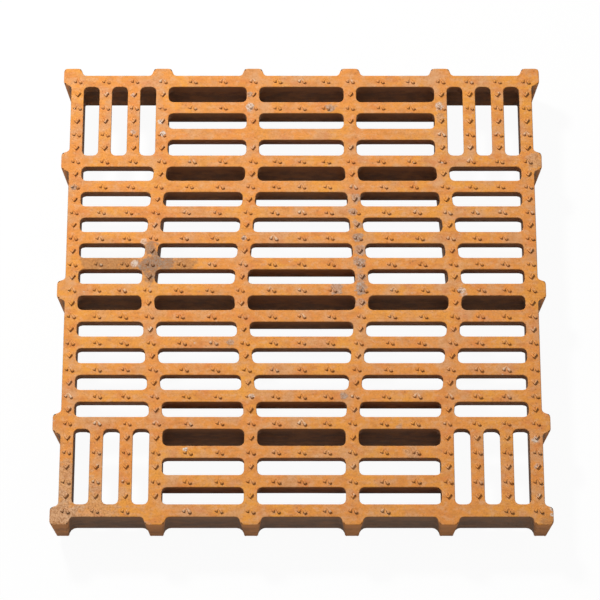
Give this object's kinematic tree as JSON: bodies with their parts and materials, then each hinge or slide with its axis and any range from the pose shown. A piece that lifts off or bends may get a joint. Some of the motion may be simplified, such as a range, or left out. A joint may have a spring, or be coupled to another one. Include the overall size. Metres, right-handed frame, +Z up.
{
  "type": "drain grate",
  "caption": "Square cast-iron drain grate with rows of slots between bowed long bars, upright corner slots, a lugged rim, deep ribs below and a rust-brown skin.",
  "frame": {"origin": "on the floor below the middle of the grate, at the foot of the ribs", "axes": "+Z up through the top face, +X along the cross bars, +Y along the long bars"},
  "size_m": [0.61, 0.61, 0.0762],
  "materials": {
    "rusted_cast_iron": "rough, rusted"
  },
  "bodies": {
    "root": {"drain_grate": "rusted_cast_iron"}
  },
  "joints": []
}
